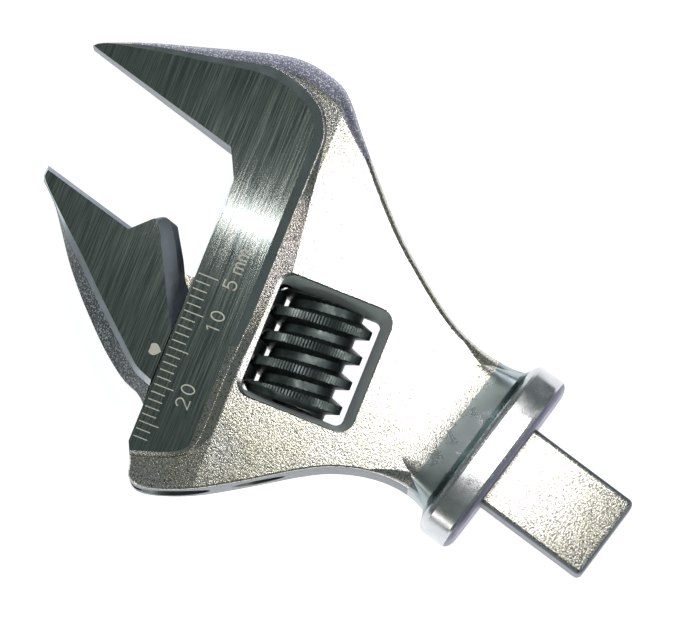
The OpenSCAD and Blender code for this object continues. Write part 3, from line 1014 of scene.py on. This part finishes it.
def build_scale():
    """Marks for every millimetre of opening, with their numbers, as one mesh."""
    verts, faces = [], []
    for value in range(SCALE_FIRST, SCALE_LAST + 1):
        length = LONG_TICK_LEN if value % 5 == 0 else TICK_LEN
        s = tick_s(value)
        add_stroke(verts, faces, [(TICK_P, s), (TICK_P - length, s)], TICK_WIDTH)
    for value, glyph, shift in LABELS:
        for points, closed in GLYPHS[glyph]:
            line = [(LABEL_P + v, tick_s(value) - shift - u) for u, v in points]
            add_stroke(verts, faces, line, GLYPH_WIDTH, closed)
    return make("scale_marks", verts, faces, MARKS)


def build_pointer():
    """Filled arrowhead on the movable jaw, beside the scale."""
    loop = smooth([(47.4, POINTER_S), (48.0, 2.45), (48.5, 2.3), (48.95, 2.55), (48.95, POINTER_S),
                   (48.95, 3.65), (48.5, 3.9), (48.0, 3.75), (47.4, POINTER_S)], 4)[:-1]
    rings = []
    for rise in (-MARK_ROOT, MARK_RISE):
        rings.append([(*on_slide(p, s), ground_z(*on_slide(p, s)) + rise) for p, s in loop])
    return loft("scale_pointer", rings, MARKS)


# ---------------------------------------------------------------- the object

body = build_body()
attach(body, "body")
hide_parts("body")

jaw = build_jaw()
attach(jaw, "movable_jaw")
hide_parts("movable_jaw")

worm = build_worm()
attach(worm, "worm")
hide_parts("worm")

marks = build_scale()
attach(marks, "body")

pointer = build_pointer()
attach(pointer, "movable_jaw")

for node, material in (("worm_pin", OXIDE), ("worm_spring", SPRING), ("detent_pin", HARD),
                       ("detent_spring", SPRING), ("detent_cross_pin", HARD)):
    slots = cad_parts[node].material_slots
    for slot in slots:
        slot.link = "OBJECT"
        slot.material = material


# ---------------------------------------------------------------- floor, light and camera

FLOOR_Z = -9.05
FLOOR_HALF = 2000


def build_floor():
    """Wide pale floor just under the part."""
    corners = ((-1, -1), (1, -1), (1, 1), (-1, 1))
    floor = make("floor", [(u * FLOOR_HALF, v * FLOOR_HALF, FLOOR_Z) for u, v in corners], [(0, 1, 2, 3)])
    material, tree, shader = new_material("pale_floor", (0.86, 0.86, 0.87), 0.0, 0.9)
    slow = noise(tree, coords(tree), 30.0, 2.0)
    base = blend_color(tree, slow, (0.86, 0.86, 0.87), (0.88, 0.88, 0.885))
    tree.links.new(base, shader.inputs["Base Color"])
    shader.inputs["Emission Color"].default_value = (0.97, 0.97, 1.0, 1)
    shader.inputs["Emission Strength"].default_value = 0.85
    floor.data.materials.append(material)


def add_light(name, place, aim, size, power, color=(1, 1, 1), depth=None):
    """Rectangular light, in metres and watts, with its first side square to the jaw's travel."""
    data = bpy.data.lights.new(name, "AREA")
    data.shape = "RECTANGLE"
    data.size = size
    data.size_y = depth or size
    data.energy = power
    data.color = color
    obj = bpy.data.objects.new(name, data)
    bpy.context.collection.objects.link(obj)
    back = (Vector(place) - Vector(aim)).normalized()
    side = Vector((-SIN, COS, 0)).cross(back).normalized()
    turn = Matrix((side, back.cross(side), back)).transposed().to_4x4()
    obj.matrix_world = Matrix.Translation(place) @ turn
    obj.visible_camera = False


def build_lights():
    """Soft box over the head, a glint on the ground face, a light for the spigot, and the sides."""
    centre = (0.03, -0.003, 0)
    add_light("key", place=(0.0301, -0.0225, 0.127), aim=(0.024, -0.014, 0),
              size=0.03, power=0.034, color=(1.0, 0.985, 0.95))
    add_light("glint", place=(0.063, -0.007, 0.076), aim=(0.046, -0.0056, 0),
              size=0.013, power=0.0014, color=(1.0, 0.9, 0.92), depth=0.002)
    add_light("spigot_key", place=(0.0026, -0.0059, 0.0545), aim=(0, -0.0025, 0.0045),
              size=0.012, power=0.004, color=(1.0, 0.97, 0.96))
    add_light("side_right", place=(-0.6, -0.15, 0.34), aim=centre,
              size=0.35, power=1.0, color=(0.95, 0.96, 1.0))
    add_light("side_low", place=(0.15, 0.7, 0.3), aim=centre,
              size=0.3, power=0.7, color=(1.0, 0.97, 0.92))
    add_light("side_back", place=(0.3, -0.6, 0.34), aim=centre,
              size=0.3, power=0.6, color=(0.93, 0.93, 1.0))
    world = bpy.data.worlds.new("studio")
    world.use_nodes = True
    back = world.node_tree.nodes["Background"]
    back.inputs["Color"].default_value = (0.86, 1.0, 0.97, 1)
    back.inputs["Strength"].default_value = 0.14
    bpy.context.scene.world = world


CAMERA_TILT = math.radians(4.9)
CAMERA_AIM = (29.87, -2.79, 6.5)
CAMERA_AWAY = 1217.5
# Parts of the picture's level direction that run along the spigot and across it
CAMERA_X = 0.8
CAMERA_Y = 0.6


def build_camera():
    """Looks down on the front, turned so that the spigot runs to the lower right."""
    c, s = math.cos(CAMERA_TILT), math.sin(CAMERA_TILT)
    right = Vector((-CAMERA_X, -CAMERA_Y, 0))
    up = Vector((CAMERA_Y * c, -CAMERA_X * c, s))
    back = right.cross(up)
    data = bpy.data.cameras.new("camera")
    data.lens = 500
    data.sensor_width = 36
    camera = bpy.data.objects.new("camera", data)
    bpy.context.collection.objects.link(camera)
    turn = Matrix((right, up, back)).transposed().to_4x4()
    camera.matrix_world = Matrix.Translation((Vector(CAMERA_AIM) + back * CAMERA_AWAY) * MM) @ turn
    bpy.context.scene.camera = camera


build_floor()
build_lights()
build_camera()
bpy.context.scene.view_settings.view_transform = "Standard"
